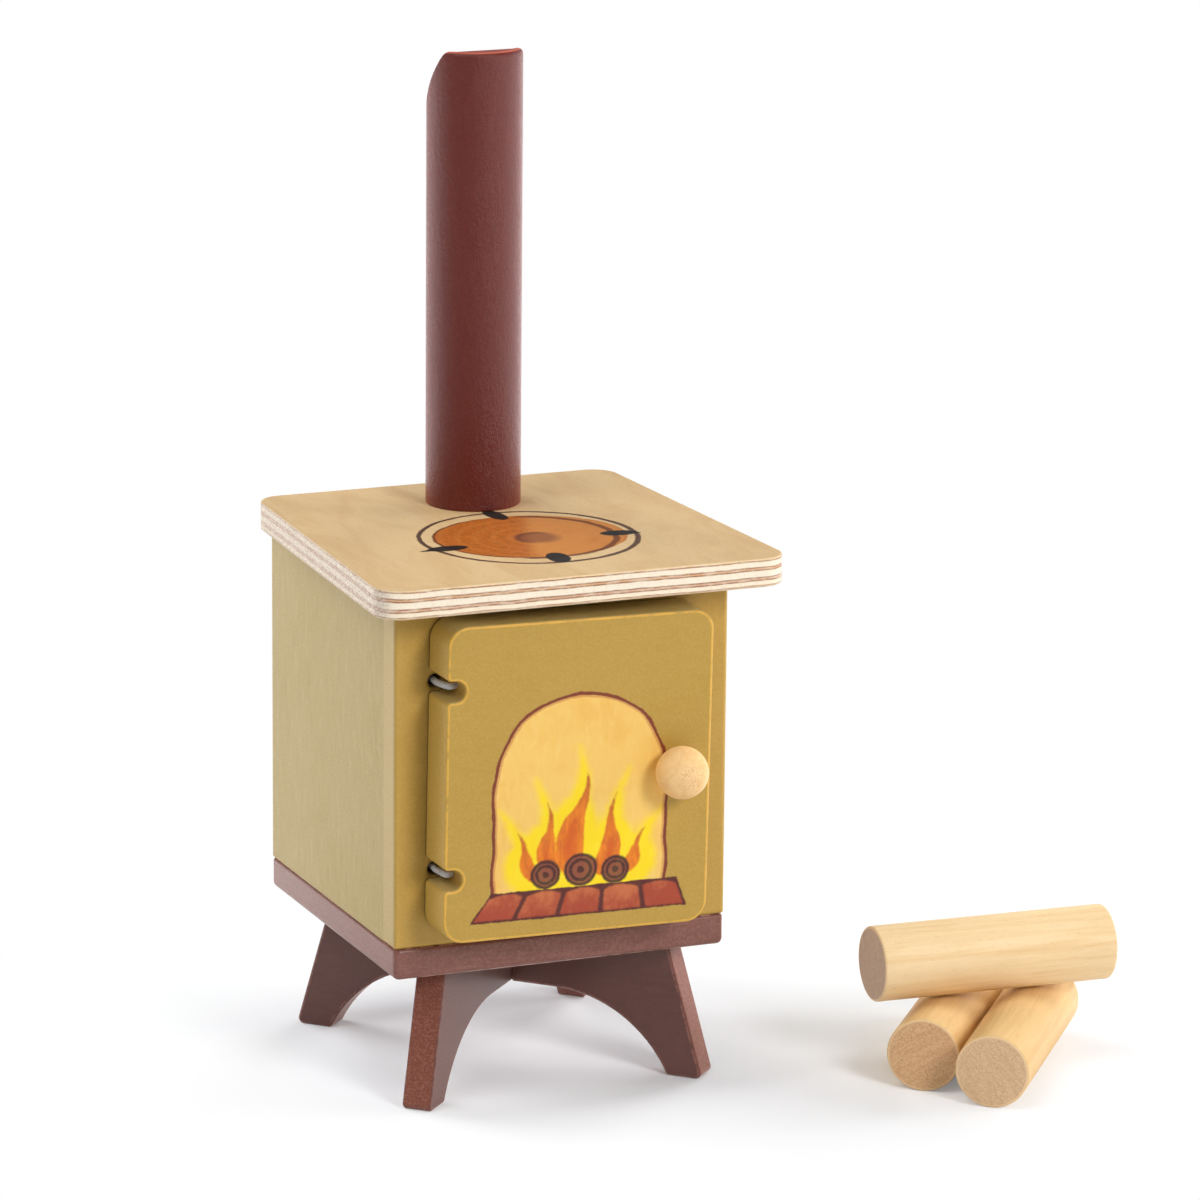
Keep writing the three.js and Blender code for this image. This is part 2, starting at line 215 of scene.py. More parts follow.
def easedBoard(name, loops, thickness, material, front, back, support=0.35, extra=(), steps=4, top=None,
               extraValues=None, bend=8):
    # A board in XY from z = 0 to thickness. The outer loop runs anticlockwise and holes run
    # clockwise. front and back are the roundings of its two faces. extra are points on the front.
    # top(points) lowers the front face. extraValues(points) paints the front face.
    def rounding(size, face, way):
        # inset, height, share of the worn edge and share of the flat face
        turns = [math.pi / 2 * k / steps for k in range(steps + 1)]
        return ([(0.0, face + way * (size + support), 0.0, 0.0)]
                + [(size * (1 - math.cos(a)), face + way * size * (1 - math.sin(a)), math.sin(a) ** 2,
                    math.sin(a)) for a in turns] + [(size + support, face, 0.0, 1.0)])

    rings = [(*ring, False) for ring in reversed(rounding(back, 0.0, 1))]
    rings += [(*ring, True) for ring in rounding(front, thickness, -1)]
    points, rim, cap, faces = [], [], [], []
    for inset, z, edgeShare, capShare, lowered in rings:
        for loop in loops:
            moved = shrunk(loop, inset, bend)
            drop = top(shrunk(loop, 0, bend)) if top and lowered else 0.0
            points.append(np.column_stack([moved, np.full(len(moved), z) + drop]))
            rim.append(np.full(len(moved), edgeShare))
            cap.append(np.full(len(moved), capShare))
    sizes = [len(shrunk(loop, 0, bend)) for loop in loops]
    count = sum(sizes)
    for ring in range(len(rings) - 1):
        start = ring * count
        for n in sizes:
            faces += strip(start, start + count, n)
            start += n
    for inset, z, first, painted in ((rings[0][0], 0.0, 0, False),
                                     (rings[-1][0], thickness, (len(rings) - 1) * count, True)):
        edges = [shrunk(loop, inset, bend) for loop in loops]
        triangles, kept = fillLoops(edges, np.asarray(extra) if painted and len(extra) else np.zeros((0, 2)))
        offset = sum(len(some) for some in points) - count
        if len(kept):
            drop = top(kept) if top else 0.0
            points.append(np.column_stack([kept, np.full(len(kept), z) + drop]))
            rim.append(np.zeros(len(kept)))
            cap.append(np.ones(len(kept)))
        for triangle in triangles:
            numbers = [first + v if v < count else offset + v for v in triangle]
            faces.append(tuple(numbers if painted else numbers[::-1]))
    allPoints = np.vstack(points)
    values = {"rim": np.concatenate(rim), "cap": np.concatenate(cap)}
    if extraValues:
        slack, farOutside = 0.01, 9.0
        onFace = allPoints[:, 2] > thickness - front - slack
        for key, numbers in extraValues(allPoints[:, :2]).items():
            values[key] = np.where(onFace, numbers, farOutside)
    return meshPiece(name, allPoints, faces, material, values)


def standing():
    # turns a board drawn in XY so that its outline is in XZ and its face looks to -Y
    return Matrix.Rotation(math.pi / 2, 3, "X")


# Materials

def srgb(text):
    channels = [int(text[i:i + 2], 16) / 255 for i in (0, 2, 4)]
    return [c / 12.92 if c <= 0.04045 else ((c + 0.055) / 1.055) ** 2.4 for c in channels] + [1.0]


def nodeMaker(tree):
    # put adds a node, fills or links its sockets and returns one of its outputs
    def put(kind, sockets=None, out=0, **settings):
        node = tree.nodes.new("ShaderNode" + kind)
        for key, value in settings.items():
            setattr(node, key, value)
        for key, value in (sockets or {}).items():
            socket = node.inputs[key]
            if isinstance(value, bpy.types.NodeSocket):
                tree.links.new(value, socket)
            else:
                socket.default_value = value
        return node.outputs[out] if node.outputs else node

    return put


def newMaterial(name):
    material = bpy.data.materials.new(name)
    material.use_nodes = True
    material.node_tree.nodes.clear()
    return material, nodeMaker(material.node_tree)


# Each of these adds its node to the tree of the first value that it is given

def calc(operation, first, second=0.0):
    return nodeMaker(first.id_data)("Math", {0: first, 1: second}, operation=operation)


def plus(first, *rest):
    return calc("ADD", first, plus(*rest)) if rest else first


def minus(first, second):
    return calc("SUBTRACT", first, second)


def times(first, second):
    return calc("MULTIPLY", first, second)


def unsigned(value):
    return calc("ABSOLUTE", value)


def ease(value, low, high, start=0.0, end=1.0):
    return nodeMaker(value.id_data)(
        "MapRange", {"Value": value, "From Min": low, "From Max": high, "To Min": start, "To Max": end},
        interpolation_type="SMOOTHSTEP")


def blend(share, first, second):
    # colours are written as in a web page, or come from another node
    first, second = [srgb(colour) if isinstance(colour, str) else colour for colour in (first, second)]
    return nodeMaker(share.id_data)("Mix", {"Factor": share, 6: first, 7: second}, out=2, data_type="RGBA")


def coats(tone, look, *layers):
    # each layer: a value, from, to, the colour's share at from and at to, and the colour's key
    for value, low, high, start, end, key in layers:
        tone = blend(ease(value, low, high, start, end), tone, look[key])
    return tone


def noise(place, scale, detail, rough, warp=0.0):
    return nodeMaker(place.id_data)("TexNoise", {"Vector": place, "Scale": scale, "Detail": detail,
                                                 "Roughness": rough, "Distortion": warp})


def attributeOf(put, key):
    return put("Attribute", out=2, attribute_name=key)


def facing(put, axis):
    return put("SeparateXYZ", {0: put("TexCoord", out=1)}, out=axis)


def millimetres(put, stretch=(1, 1, 1)):
    scale = [1000 * s for s in stretch]
    return put("VectorMath", {0: put("TexCoord", out=3), 1: scale}, operation="MULTIPLY")


def finishSurface(put, colour, roughness, height, bump, distance, settings):
    normal = put("Bump", {"Strength": bump, "Distance": distance, "Height": height})
    sockets = {"Base Color": colour, "Roughness": roughness, "Normal": normal, **settings}
    put("OutputMaterial", {"Surface": put("BsdfPrincipled", sockets)})


def paintedWood(name, look, decorate=None):
    # satin paint over board: even fine speckle, faint grain, soft clouds and rubbed edges
    material, put = newMaterial(name)
    plain = millimetres(put)
    streaks = noise(millimetres(put, look["grain"]), 1.0, 5.0, 0.6, 0.4)
    clouds = noise(plain, 0.05, 3.0, 0.5)
    pores = noise(plain, 2.6, 2.0, 0.6)
    grit = noise(plain, 2.4, 3.0, 0.75)
    cap = attributeOf(put, "cap")
    tone = blend(ease(streaks, 0.3, 0.7), look["dark"], look["colour"])
    tone = coats(tone, look, (clouds, 0.35, 0.7, 0.0, look["cloud"], "light"))
    side = blend(ease(grit, 0.48, 0.62), look["side"], look["sideSpeck"])
    tone = blend(ease(cap, 0.1, 0.7, 0.8, 0.0), tone, side)
    if look["brush"]:
        strokes = noise(millimetres(put, look["strokes"]), 1.0, 5.0, 0.7, 0.2)
        tone = coats(tone, look, (strokes, 0.5, 0.68, 0.0, look["brush"], "speck"),
                     (strokes, 0.46, 0.3, 0.0, look["brush"], "deep"))
    tone = coats(tone, look, (grit, 0.46, 0.62, 0.0, look["specks"], "speck"),
                 (grit, 0.42, 0.32, 0.0, look["specks"], "deep"))
    # painted shade: a share of a duller, greyer tone on the faces that look along upAxis
    if look["paintedShadeShare"]:
        tone = coats(tone, look, (facing(put, look["upAxis"]), 0.5, 0.9, 0.0, look["paintedShadeShare"], "paintedShadeTone"))
    # rubbed edges in the edge colour; on the base this pale edge is also a painted highlight
    patchy = noise(plain, 0.45, 4.0, 0.65)
    rim = plus(attributeOf(put, "rim"), times(minus(patchy, 0.5), look["uneven"]))
    worn = times(ease(rim, look["rimFrom"], look["rimTo"]), ease(patchy, look["wearFrom"], look["wearTo"]))
    tone = blend(times(worn, look["wear"]), tone, look["edge"])
    if decorate:
        tone = decorate(put, tone, plain)
    roughness = ease(pores, 0.3, 0.7, look["rough"] - 0.05, look["rough"] + 0.07)
    gloss = look["gloss"]
    if look["sideGloss"] != 1:
        gloss = ease(cap, 0.1, 0.7, gloss * look["sideGloss"], gloss)
    height = plus(times(streaks, 0.5), times(grit, 0.5))
    finishSurface(put, tone, roughness, height, look["bump"], 0.00012,
                  {"Specular IOR Level": gloss, "Sheen Weight": look["sheen"], "Sheen Roughness": 0.4,
                   "Sheen Tint": srgb(look["sheenTint"])})
    return material


# painted shade: faces that look along the piece's own axis upAxis, 0, 1 or 2, get this share of a duller,
# greyer tone; on the door it is the top face, in shade under the top plate
mustardLook = dict(
    colour="BC9746", dark="B99443", light="BF9A4B", side="BC9746", sideSpeck="C39E4E", speck="CDAA5C",
    deep="A98436", edge="F0B83C", cloud=0.6, specks=0.25, brush=0.0, strokes=(1, 1, 1), grain=(0.5, 0.5, 0.2),
    wear=0.05, rimFrom=0.6, rimTo=0.95, uneven=0.5, wearFrom=0.2, wearTo=0.42, paintedShadeShare=0.0, rough=0.45,
    gloss=0.4, sideGloss=1.0, sheen=0.0, sheenTint="FFFFFF", bump=0.14)
# painted sheen: the side panels' mustard paint is drawn paler and greyer, for the pale shine the sides show
# at a glancing view
sideSheenLook = dict(
    mustardLook, colour="B49E69", dark="A7945A", light="C1AA80", side="AF9964", sideSpeck="B5A06C",
    speck="C6B588", deep="9A8656", edge="C6B478", cloud=1.0, specks=0.14, brush=0.32,
    strokes=(0.7, 0.7, 0.16), grain=(0.16, 0.11, 0.08), wear=0.5, rough=0.48, gloss=0.26, bump=0.3)
doorLook = dict(
    mustardLook, colour="B7933F", dark="B4903C", light="BA9644", edge="DDAB45", grain=(0.2, 0.5, 0.5),
    wear=0.95, rimFrom=0.4, rimTo=0.8, uneven=1.0, wearFrom=0.25, wearTo=0.5, paintedShadeShare=0.35, upAxis=1,
    paintedShadeTone="8F8A6C")
flueLook = dict(
    colour="62211A", dark="5E1F18", light="67271F", side="62211A", sideSpeck="6A2820", speck="702F27",
    deep="581C17", edge="D0664A", cloud=0.5, specks=0.1, brush=0.3, strokes=(0.8, 0.8, 0.22),
    grain=(1.3, 1.3, 0.7), wear=0.95, rimFrom=0.4, rimTo=0.9, uneven=0.0, wearFrom=0.1, wearTo=0.35,
    paintedShadeShare=0.0, rough=0.2, gloss=0.42, sideGloss=1.0, sheen=0.4, sheenTint="D0503E", bump=2.2)
# the base's pale rubbed edges are partly a painted highlight, the shine on its rounded edges
baseLook = dict(
    flueLook, colour="77483C", dark="6C3E33", light="805348", side="7E4F44", sideSpeck="8E6055",
    speck="94655A", deep="643529", edge="D9A894", specks=0.18, brush=0.4, strokes=(0.16, 0.16, 2.0),
    grain=(0.07, 0.12, 0.9), wear=0.8, uneven=0.4, wearFrom=0.4, wearTo=0.55, rough=0.36, gloss=0.5,
    sheen=0.06, sheenTint="FFE4DE", bump=0.25)
legLook = dict(
    baseLook, colour="65382F", dark="5D332B", light="6B4037", side="8A5243", sideSpeck="AC7462",
    speck="7A4A3E", deep="4C271F", edge="B57A68", brush=0.2, grain=(0.12, 0.9, 0.9), wear=0.35,
    rough=0.34, gloss=0.55, sideGloss=0.35, sheen=0.5)


def plywood(name, look):
    # birch veneer above and below, with the plies showing round the edge
    material, put = newMaterial(name)
    plain = millimetres(put)
    streaks = noise(millimetres(put, (0.75, 0.07, 0.75)), 1.0, 5.0, 0.6, 0.5)
    clouds = noise(millimetres(put, (0.11, 0.04, 0.11)), 1.0, 5.0, 0.62, 1.3)
    fine = noise(millimetres(put, (2.2, 0.6, 2.2)), 1.0, 3.0, 0.6)
    veneer = blend(ease(clouds, 0.36, 0.64), look["dark"], look["face"])
    veneer = coats(veneer, look, (streaks, 0.45, 0.75, 0.0, 0.35, "warm"),
                   (fine, 0.5, 0.72, 0.0, 0.3, "pore"), (facing(put, 2), -0.5, -0.9, 0.0, 1.0, "under"))
    wander = times(minus(noise(plain, 0.14, 4.0, 0.6), 0.5), 0.5)
    level = plus(put("SeparateXYZ", {0: plain}, out=2), wander)
    band = put("ValToRGB", {0: calc("DIVIDE", level, look["thickness"])})
    ramp = band.node.color_ramp
    stops = [(position, tint) for low, high, tint in look["plies"] for position in (low, high)]
    while len(ramp.elements) < len(stops):
        ramp.elements.new(0.5)
    for element, (position, tint) in zip(ramp.elements, stops):
        element.position = position
        element.color = srgb(tint)
    fibres = noise(millimetres(put, (1, 1, 0.3)), 2.0, 3.0, 0.7)
    uneven = noise(millimetres(put, (0.35, 0.35, 1.5)), 1.0, 5.0, 0.7)
    edge = coats(band, look, (uneven, 0.42, 0.66, 0.0, 0.5, "cream"), (fibres, 0.45, 0.75, 0.0, 0.3, "fibre"))
    # the ends of the plies that run from left to right are greyer and mottled
    mottle = noise(millimetres(put, (1, 0.7, 1.4)), 2.0, 4.0, 0.75)
    grain = blend(ease(mottle, 0.4, 0.58), look["endDark"], look["end"])
    edge = blend(ease(unsigned(facing(put, 0)), 0.5, 0.95, 0.0, 0.6), edge, grain)
    tone = paintHob(put, blend(ease(attributeOf(put, "cap"), 0.5, 0.85), edge, veneer), plain)
    height = plus(times(streaks, 0.5), times(fibres, 0.5))
    finishSurface(put, tone, 0.5, height, 0.12, 0.0001, {"Specular IOR Level": 0.3})
    return material


def bareWood(name, look):
    # close straight grain along Z with short pores; the end grain is darker, with saw marks
    material, put = newMaterial(name)
    plain = millimetres(put)
    along = millimetres(put, (0.75, 0.75, 0.045))
    streaks = noise(along, 0.9, 6.0, 0.6, 0.5)
    fine = noise(millimetres(put, (1, 1, 0.09)), 3.4, 3.0, 0.65)
    pores = noise(millimetres(put, (1, 1, 0.3)), 2.6, 3.0, 0.7)
    parts = put("SeparateXYZ", {0: plain}).node.outputs
    fromPith = put("CombineXYZ", {i: plus(parts[i], look["pith"][i]) for i in (0, 1)})
    radius = put("VectorMath", {0: fromPith}, out=1, operation="LENGTH")
    wobble = times(noise(along, 0.35, 3.0, 0.5), look["wobble"])
    rings = calc("SINE", times(plus(radius, wobble), look["rings"]))
    tone = blend(ease(streaks, 0.25, 0.6), look["dark"], look["colour"])
    tone = coats(tone, look, (rings, 0.35, 1.0, 0.0, look["ringShare"], "ring"),
                 (fine, 0.52, 0.72, 0.0, look["fine"], "pore"),
                 (pores, 0.58, 0.72, 0.0, look["pores"], "pore"))
    mottle = noise(plain, 2.8, 3.0, 0.7)
    turned = put("Mapping", {"Vector": plain, "Rotation": (0, 0, math.radians(look["endTurn"]))})
    saw = noise(put("VectorMath", {0: turned, 1: (0.14, 2.6, 1)}, operation="MULTIPLY"), 1.0, 3.0, 0.6, 0.4)
    end = blend(ease(mottle, 0.3, 0.6), look["endDark"], look["end"])
    end = coats(end, look, (saw, 0.48, 0.62, 0.0, look["saw"], "endDark"),
                (rings, 0.4, 1.0, 0.0, 0.2, "endDark"))
    tone = blend(ease(attributeOf(put, "cap"), 0.85, 0.99), tone, end)
    tone = coats(tone, look, (attributeOf(put, "rim"), 0.3, 0.8, 0.0, 0.6, "rim"))
    height = plus(streaks, times(pores, 0.6))
    finishSurface(put, tone, 0.52, height, 0.2, 0.0001, {"Specular IOR Level": 0.35})
    return material


plywoodLook = dict(
    face="D8BA8C", dark="D0AF80", warm="DFBF8E", pore="C09C70", fibre="DCC4A6", cream="F6E8D0", end="E3D6C8",
    endDark="A78F80", under="E4DDC8",
    thickness=plateHigh[2] - plateLow[2],
    plies=[(0.0, 0.06, "D6B28C"), (0.078, 0.084, "AD7C5A"), (0.11, 0.225, "F6E7CE"), (0.236, 0.258, "A06C4E"),
           (0.288, 0.318, "D4A888"), (0.338, 0.362, "9C6B52"), (0.38, 0.57, "F8EBD6"),
           (0.588, 0.612, "9E6844"), (0.636, 0.664, "D8A87E"), (0.684, 0.706, "A26E50"),
           (0.728, 0.876, "F9EBD5"), (0.895, 0.92, "A6744E"), (0.945, 0.97, "E8CA9E")])
logLook = dict(colour="ECC88E", dark="E3BA7C", pore="C99C66", ring="DBAE72", ringShare=0.22, rings=2.6,
               wobble=4.5, pith=(9.0, 3.0), end="E0B88B", endDark="C4966A", saw=0.42, fine=0.2, pores=0.3,
               rim="F0D0A4", endTurn=0)
knobLook = dict(logLook, colour="F4CA8E", dark="EDBF81", ring="DFAE74", ringShare=0.25, end="F8D098",
                endDark="DEAA72", saw=0.0, pores=0.12, pith=(-1.6, 1.2))

# the front panel's edge faces take the side panels' paler colour, the same painted sheen
bodyPaint = paintedWood("mustardPaint", dict(mustardLook, side="B29C67", sideSpeck="B8A26E"))
sideSheenPaint = paintedWood("mustardPaintSideSheen", sideSheenLook)
# the back panel takes the side panels' paler colour too, painted sheen included
backPaint = paintedWood("mustardBackPaint", dict(sideSheenLook, cloud=0.4))
fluePaint = paintedWood("maroonFluePaint", flueLook)
basePaint = paintedWood("maroonBasePaint", baseLook)
legPaint = paintedWood("maroonLegPaint", legLook)
knobWood = bareWood("knobBeech", knobLook)
pegWood = bareWood("pegBeech", logLook)
print("plain materials made")


# Body: front, back and side panels

bodyShape = dict(panel=6.0, frontEdge=0.8, frontCorner=0.6, seamEdge=0.05, seamCorner=0.08, bottomEdge=0.35,
                 backCorner=0.9, mouthLap=6.0, mouthCorner=3.0, cordHole=1.3, cordHoleInset=1.9,
                 holeSides=20)
doorShape = dict(width=52.2, height=59.4, thickness=9.7, sag=0.93, corner=4.0, edge=0.45, backEdge=0.25,
                 notchFromEnd=12.0, notchHeight=3.8, notchDepth=3.65, notchLip=0.9)
doorCentre = (doorLow + doorHigh) / 2
doorLeft = doorCentre[0] - doorShape["width"] / 2
doorLean = Matrix.Rotation(math.radians(doorShape["sag"]), 3, "Y")
notchHeights = [s * (doorShape["height"] / 2 - doorShape["notchFromEnd"]) for s in (1, -1)]
cordHoleX = doorLeft + bodyShape["cordHoleInset"]


def frontPanel():
    halfWidth, halfHeight = bodyWidth / 2, bodyHeight / 2
    middleZ = (frontLow[2] + frontHigh[2]) / 2
    outer = rectangle(-halfWidth, -halfHeight, halfWidth, halfHeight, bodyShape["frontCorner"])
    mouthX, mouthZ = doorCentre[0] - bodyX, doorCentre[2] - middleZ
    mouthWidth = doorShape["width"] / 2 - bodyShape["mouthLap"]
    mouthHeight = doorShape["height"] / 2 - bodyShape["mouthLap"]
    mouth = rectangle(mouthX - mouthWidth, mouthZ - mouthHeight,
                      mouthX + mouthWidth, mouthZ + mouthHeight, bodyShape["mouthCorner"])
    holes = [circle(cordHoleX - bodyX, mouthZ + z, bodyShape["cordHole"], bodyShape["holeSides"])[::-1]
             for z in notchHeights]
    panel = easedBoard("frontPanel", [outer, mouth[::-1]] + holes, bodyShape["panel"], bodyPaint,
                       front=bodyShape["frontEdge"], back=bodyShape["seamEdge"], support=0.3)
    middle = (bodyX, frontHigh[1], middleZ)
    return seat(panel, "stove", "front_panel", middle, standing())


def sidePanel(name, node, side):
    low, high = boxOf(node)
    outerX, innerX = (low[0], high[0]) if side < 0 else (high[0], low[0])
    seam = bodyShape["seamCorner"]
    corners = [(innerX, low[1], seam), (outerX, low[1], seam),
               (outerX, high[1], bodyShape["backCorner"]), (innerX, high[1], seam)]
    if side < 0:
        corners.reverse()
    loop = [(x - bodyX, y - bodyY, r) for x, y, r in corners]
    panel = easedBoard(name, [loop], bodyHeight, sideSheenPaint, front=0.12, back=bodyShape["bottomEdge"],
                       support=0.02)
    return seat(panel, "stove", node, (bodyX, bodyY, baseTop))


def backPanel():
    loop = rectangle(backLow[0] - bodyX, -bodyHeight / 2, backHigh[0] - bodyX, bodyHeight / 2, 0.1)
    panel = easedBoard("backPanel", [loop], bodyShape["panel"], backPaint, front=0.06, back=0.06,
                       support=0.03)
    middle = (bodyX, backHigh[1], (backLow[2] + backHigh[2]) / 2)
    return seat(panel, "stove", "back_panel", middle, standing())


frontPanel()
sidePanel("leftSidePanel", "left_side_panel", -1)
sidePanel("rightSidePanel", "right_side_panel", 1)
backPanel()


# Base plate and crossed legs

baseShape = dict(corner=1.2, topEdge=0.8, bottomEdge=1.2)
legShape = dict(thickness=5.7, topReach=34.7, topCorner=0.5, footReach=42.2, footWidth=7.2, footRounding=1.1,
                footInside=0.7, band=12.0, flatReach=12.0, archSteps=20, angle=45.8, shiftX=1.5, shiftY=-0.6,
                edge=0.45, slotGap=0.15, slotLip=0.5, slotCorner=0.2)


def basePlate():
    loop = rectangle(baseLow[0] - bodyX, baseLow[1] - bodyY, baseHigh[0] - bodyX, baseHigh[1] - bodyY,
                     baseShape["corner"])
    plate = easedBoard("basePlate", [loop], baseHigh[2] - baseLow[2], basePaint,
                       front=baseShape["topEdge"], back=baseShape["bottomEdge"])
    return seat(plate, "stove", "base_plate", (bodyX, bodyY, baseLow[2]))


def legBoard(name, node, turn, slotFromAbove):
    # the outline begins at the left foot and runs along the arch, then back over the top
    s = legShape
    bandBottom = legHeight - s["band"]
    reach = s["footReach"] - s["footWidth"]
    archReach = reach - s["flatReach"]
    radius = (archReach ** 2 + bandBottom ** 2) / (2 * bandBottom)
    sweep = math.asin(archReach / radius)
    arch = [(s["flatReach"] + radius * math.sin(a), bandBottom - radius + radius * math.cos(a), 0)
            for a in np.linspace(0, sweep, s["archSteps"])[:-1]]
    half = s["thickness"] / 2 + s["slotGap"]
    middle = bandBottom + s["band"] / 2

    def slot(side, mouth, depth):
        return [(-side * half, mouth, s["slotLip"]), (-side * half, depth, s["slotCorner"]),
                (side * half, depth, s["slotCorner"]), (side * half, mouth, s["slotLip"])]

    corners = [(-s["footReach"], 0, s["footRounding"]), (-reach, 0, s["footInside"])]
    corners += [(-u, z, 0) for u, z, r in reversed(arch)]
    if not slotFromAbove:
        corners += slot(1, bandBottom, middle + s["slotGap"] / 2)
    corners += arch + [(reach, 0, s["footInside"]), (s["footReach"], 0, s["footRounding"]),
                       (s["topReach"], legHeight, s["topCorner"])]
    if slotFromAbove:
        corners += slot(-1, legHeight, middle - s["slotGap"] / 2)
    corners += [(-s["topReach"], legHeight, s["topCorner"])]
    board = easedBoard(name, [corners], s["thickness"], legPaint, front=s["edge"], back=s["edge"],
                       support=0.3)
    turned = Matrix.Rotation(turn, 3, "Z")
    spot = Vector((bodyX + s["shiftX"], bodyY + s["shiftY"], 0)) + turned @ Vector((0, s["thickness"] / 2, 0))
    return seat(board, "stove", node, spot, turned @ standing())


basePlate()
legBoard("legBoardA", "leg_board_a", math.radians(180 + legShape["angle"]), True)
legBoard("legBoardB", "leg_board_b", math.radians(-legShape["angle"]), False)
print("body, base and legs made")


# Top plate with the painted hob

topShape = dict(frontWidth=80.2, backWidth=72.1, corner=5.0, edge=0.4, gridX=(-38, 38.1, 4),
                gridY=(-42, 32, 4))


def paintedSpot(put, plain, x, y, halfX, halfY, turn=0.0):
    # below zero inside an ellipse on the plate's top, about in millimetres
    place = put("Mapping", {"Vector": plain, "Location": (x, y, 0), "Rotation": (0, 0, math.radians(turn)),
                            "Scale": (halfX, halfY, 1e5)}, vector_type="TEXTURE")
    length = put("VectorMath", {0: place}, out=1, operation="LENGTH")
    return times(minus(length, 1.0), min(halfX, halfY))


def paintHob(put, tone, plain):
    # a disc of thin brown stain with a paler painted reflection on its right part, a line inside it, two
    # lines round it and the dashes
    look = dict(disc="B9611A", discDark="98500F", discLight="CC8640", line="4A2E26", inner="5E2C16",
                dash="151819", smudge="6E3A28", smudgeRim="4E2015", rim="4A2415")
    spot = lambda *place: paintedSpot(put, plain, *place)
    centred = lambda scale, much: times(minus(noise(plain, scale, 3.0, 0.6), 0.5), much)
    drift, wobble, shake = centred(0.045, 3.2), centred(0.3, 0.8), centred(1.6, 0.35)
    flat = put("SeparateXYZ", {0: plain}).node.outputs
    x, y = flat[0], flat[1]
    brush = noise(millimetres(put, (1.6, 0.7, 1)), 1.2, 5.0, 0.72, 0.3)
    patchyReflection = noise(plain, 0.13, 4.0, 0.6, 0.9)
    stain = blend(ease(brush, 0.34, 0.64), look["discDark"], look["disc"])
    # painted reflection: right of this line, the edge of the flue's reflection, the disc is paler, as if it
    # mirrored the pale surroundings
    reflectionEdge = minus(times(plus(x, wobble), 0.948), times(y, 0.319))
    thin = times(ease(reflectionEdge, 3.4, 7.0, 0.0, 0.75), ease(patchyReflection, 0.25, 0.55, 0.5, 1.0))
    stain = blend(thin, stain, look["discLight"])
    turns = calc("SINE", times(spot(1.9, -16.0, 1.0, 1.0), 1.9))
    middle = plus(spot(1.9, -16.0, 4.0, 4.0), wobble, shake)
    stain = coats(stain, look, (turns, 0.0, 1.0, 0.0, 0.16, "discLight"),
                  (middle, -1.6, 1.4, 0.7, 0.0, "smudge"))
    upperLeft = ease(minus(y, x), -21.0, -14.0)
    middleRim = times(upperLeft, ease(unsigned(plus(middle, 0.2)), 0.1, 1.2, 0.7, 0.0))
    stain = blend(middleRim, stain, look["smudgeRim"])
    disc = plus(spot(0.93, -14.5, 18.3, 16.3), times(drift, 0.35), wobble)
    discRim = times(ease(x, 2.0, -10.0, 0.15, 0.8), ease(disc, -0.75, -0.2))
    stain = blend(discRim, stain, look["rim"])
    tone = blend(ease(disc, -0.12, 0.2, 0.97, 0.0), tone, stain)
    radius = spot(0.5, -15.0, 1.0, 1.0)
    ring = plus(unsigned(plus(radius, times(drift, 0.3), wobble, -15.2)), shake)
    side = ease(minus(times(x, 0.943), times(plus(y, 15.0), 0.336)), -2.4, 0.6, 0.0, 0.85)
    tone = blend(times(ease(ring, 0.4, 0.9, 1.0, 0.0), side), tone, look["inner"])
    for distance, follow, width in ((19.35, 0.3, 0.36), (18.95, 0.62, 0.24)):
        ring = unsigned(plus(radius, times(drift, follow), times(wobble, 0.5), -distance))
        line = plus(ring, times(shake, 0.7))
        tone = coats(tone, look, (line, width - 0.12, width + 0.14, 0.92, 0.0, "line"))
    for place in ((1.1, 3.6, 1.75, 4.1, 6), (-16.9, -18.1, 4.0, 1.9, 2), (17.2, -17.6, 3.4, 2.0, -6),
                  (-0.5, -31.6, 2.2, 3.7, -8), (-20.6, -18.5, 2.0, 0.5, 8), (20.3, -18.4, 1.0, 0.5, -20)):
        dash = plus(spot(*place), times(wobble, 0.7), shake)
        tone = coats(tone, look, (dash, -0.12, 0.16, 0.98, 0.0, "dash"))
    return tone


def topPlate():
    front, back = plateLow[1] - bodyY, plateHigh[1] - bodyY
    s = topShape
    loop = [(-s["frontWidth"] / 2, front, s["corner"]), (s["frontWidth"] / 2, front, s["corner"]),
            (s["backWidth"] / 2, back, s["corner"]), (-s["backWidth"] / 2, back, s["corner"])]
    grid = gridPoints(np.arange(*s["gridX"]), np.arange(*s["gridY"]))
    plate = easedBoard("topPlate", [loop], plateHigh[2] - plateLow[2], plywood("birchPlywood", plywoodLook),
                       front=s["edge"], back=s["edge"], extra=grid, bend=16)
    return seat(plate, "stove", "top_plate", (bodyX, bodyY, plateLow[2]))


topPlate()


# Flue: a dowel with a steep cut behind a flat front

flueShape = dict(
    ridge=4.2, cutAngle=54.5, edge=0.8, bottomEdge=0.3, blend=0.5, sides=128,
    # the points on the cut, each from, to and step: from left to right, and front to back
    across=(-8.4, 8.5, 0.7), rows=[(-8.4, -5.6, 0.7), (-5.4, -3.0, 0.2), (-2.8, 8.6, 0.8)])


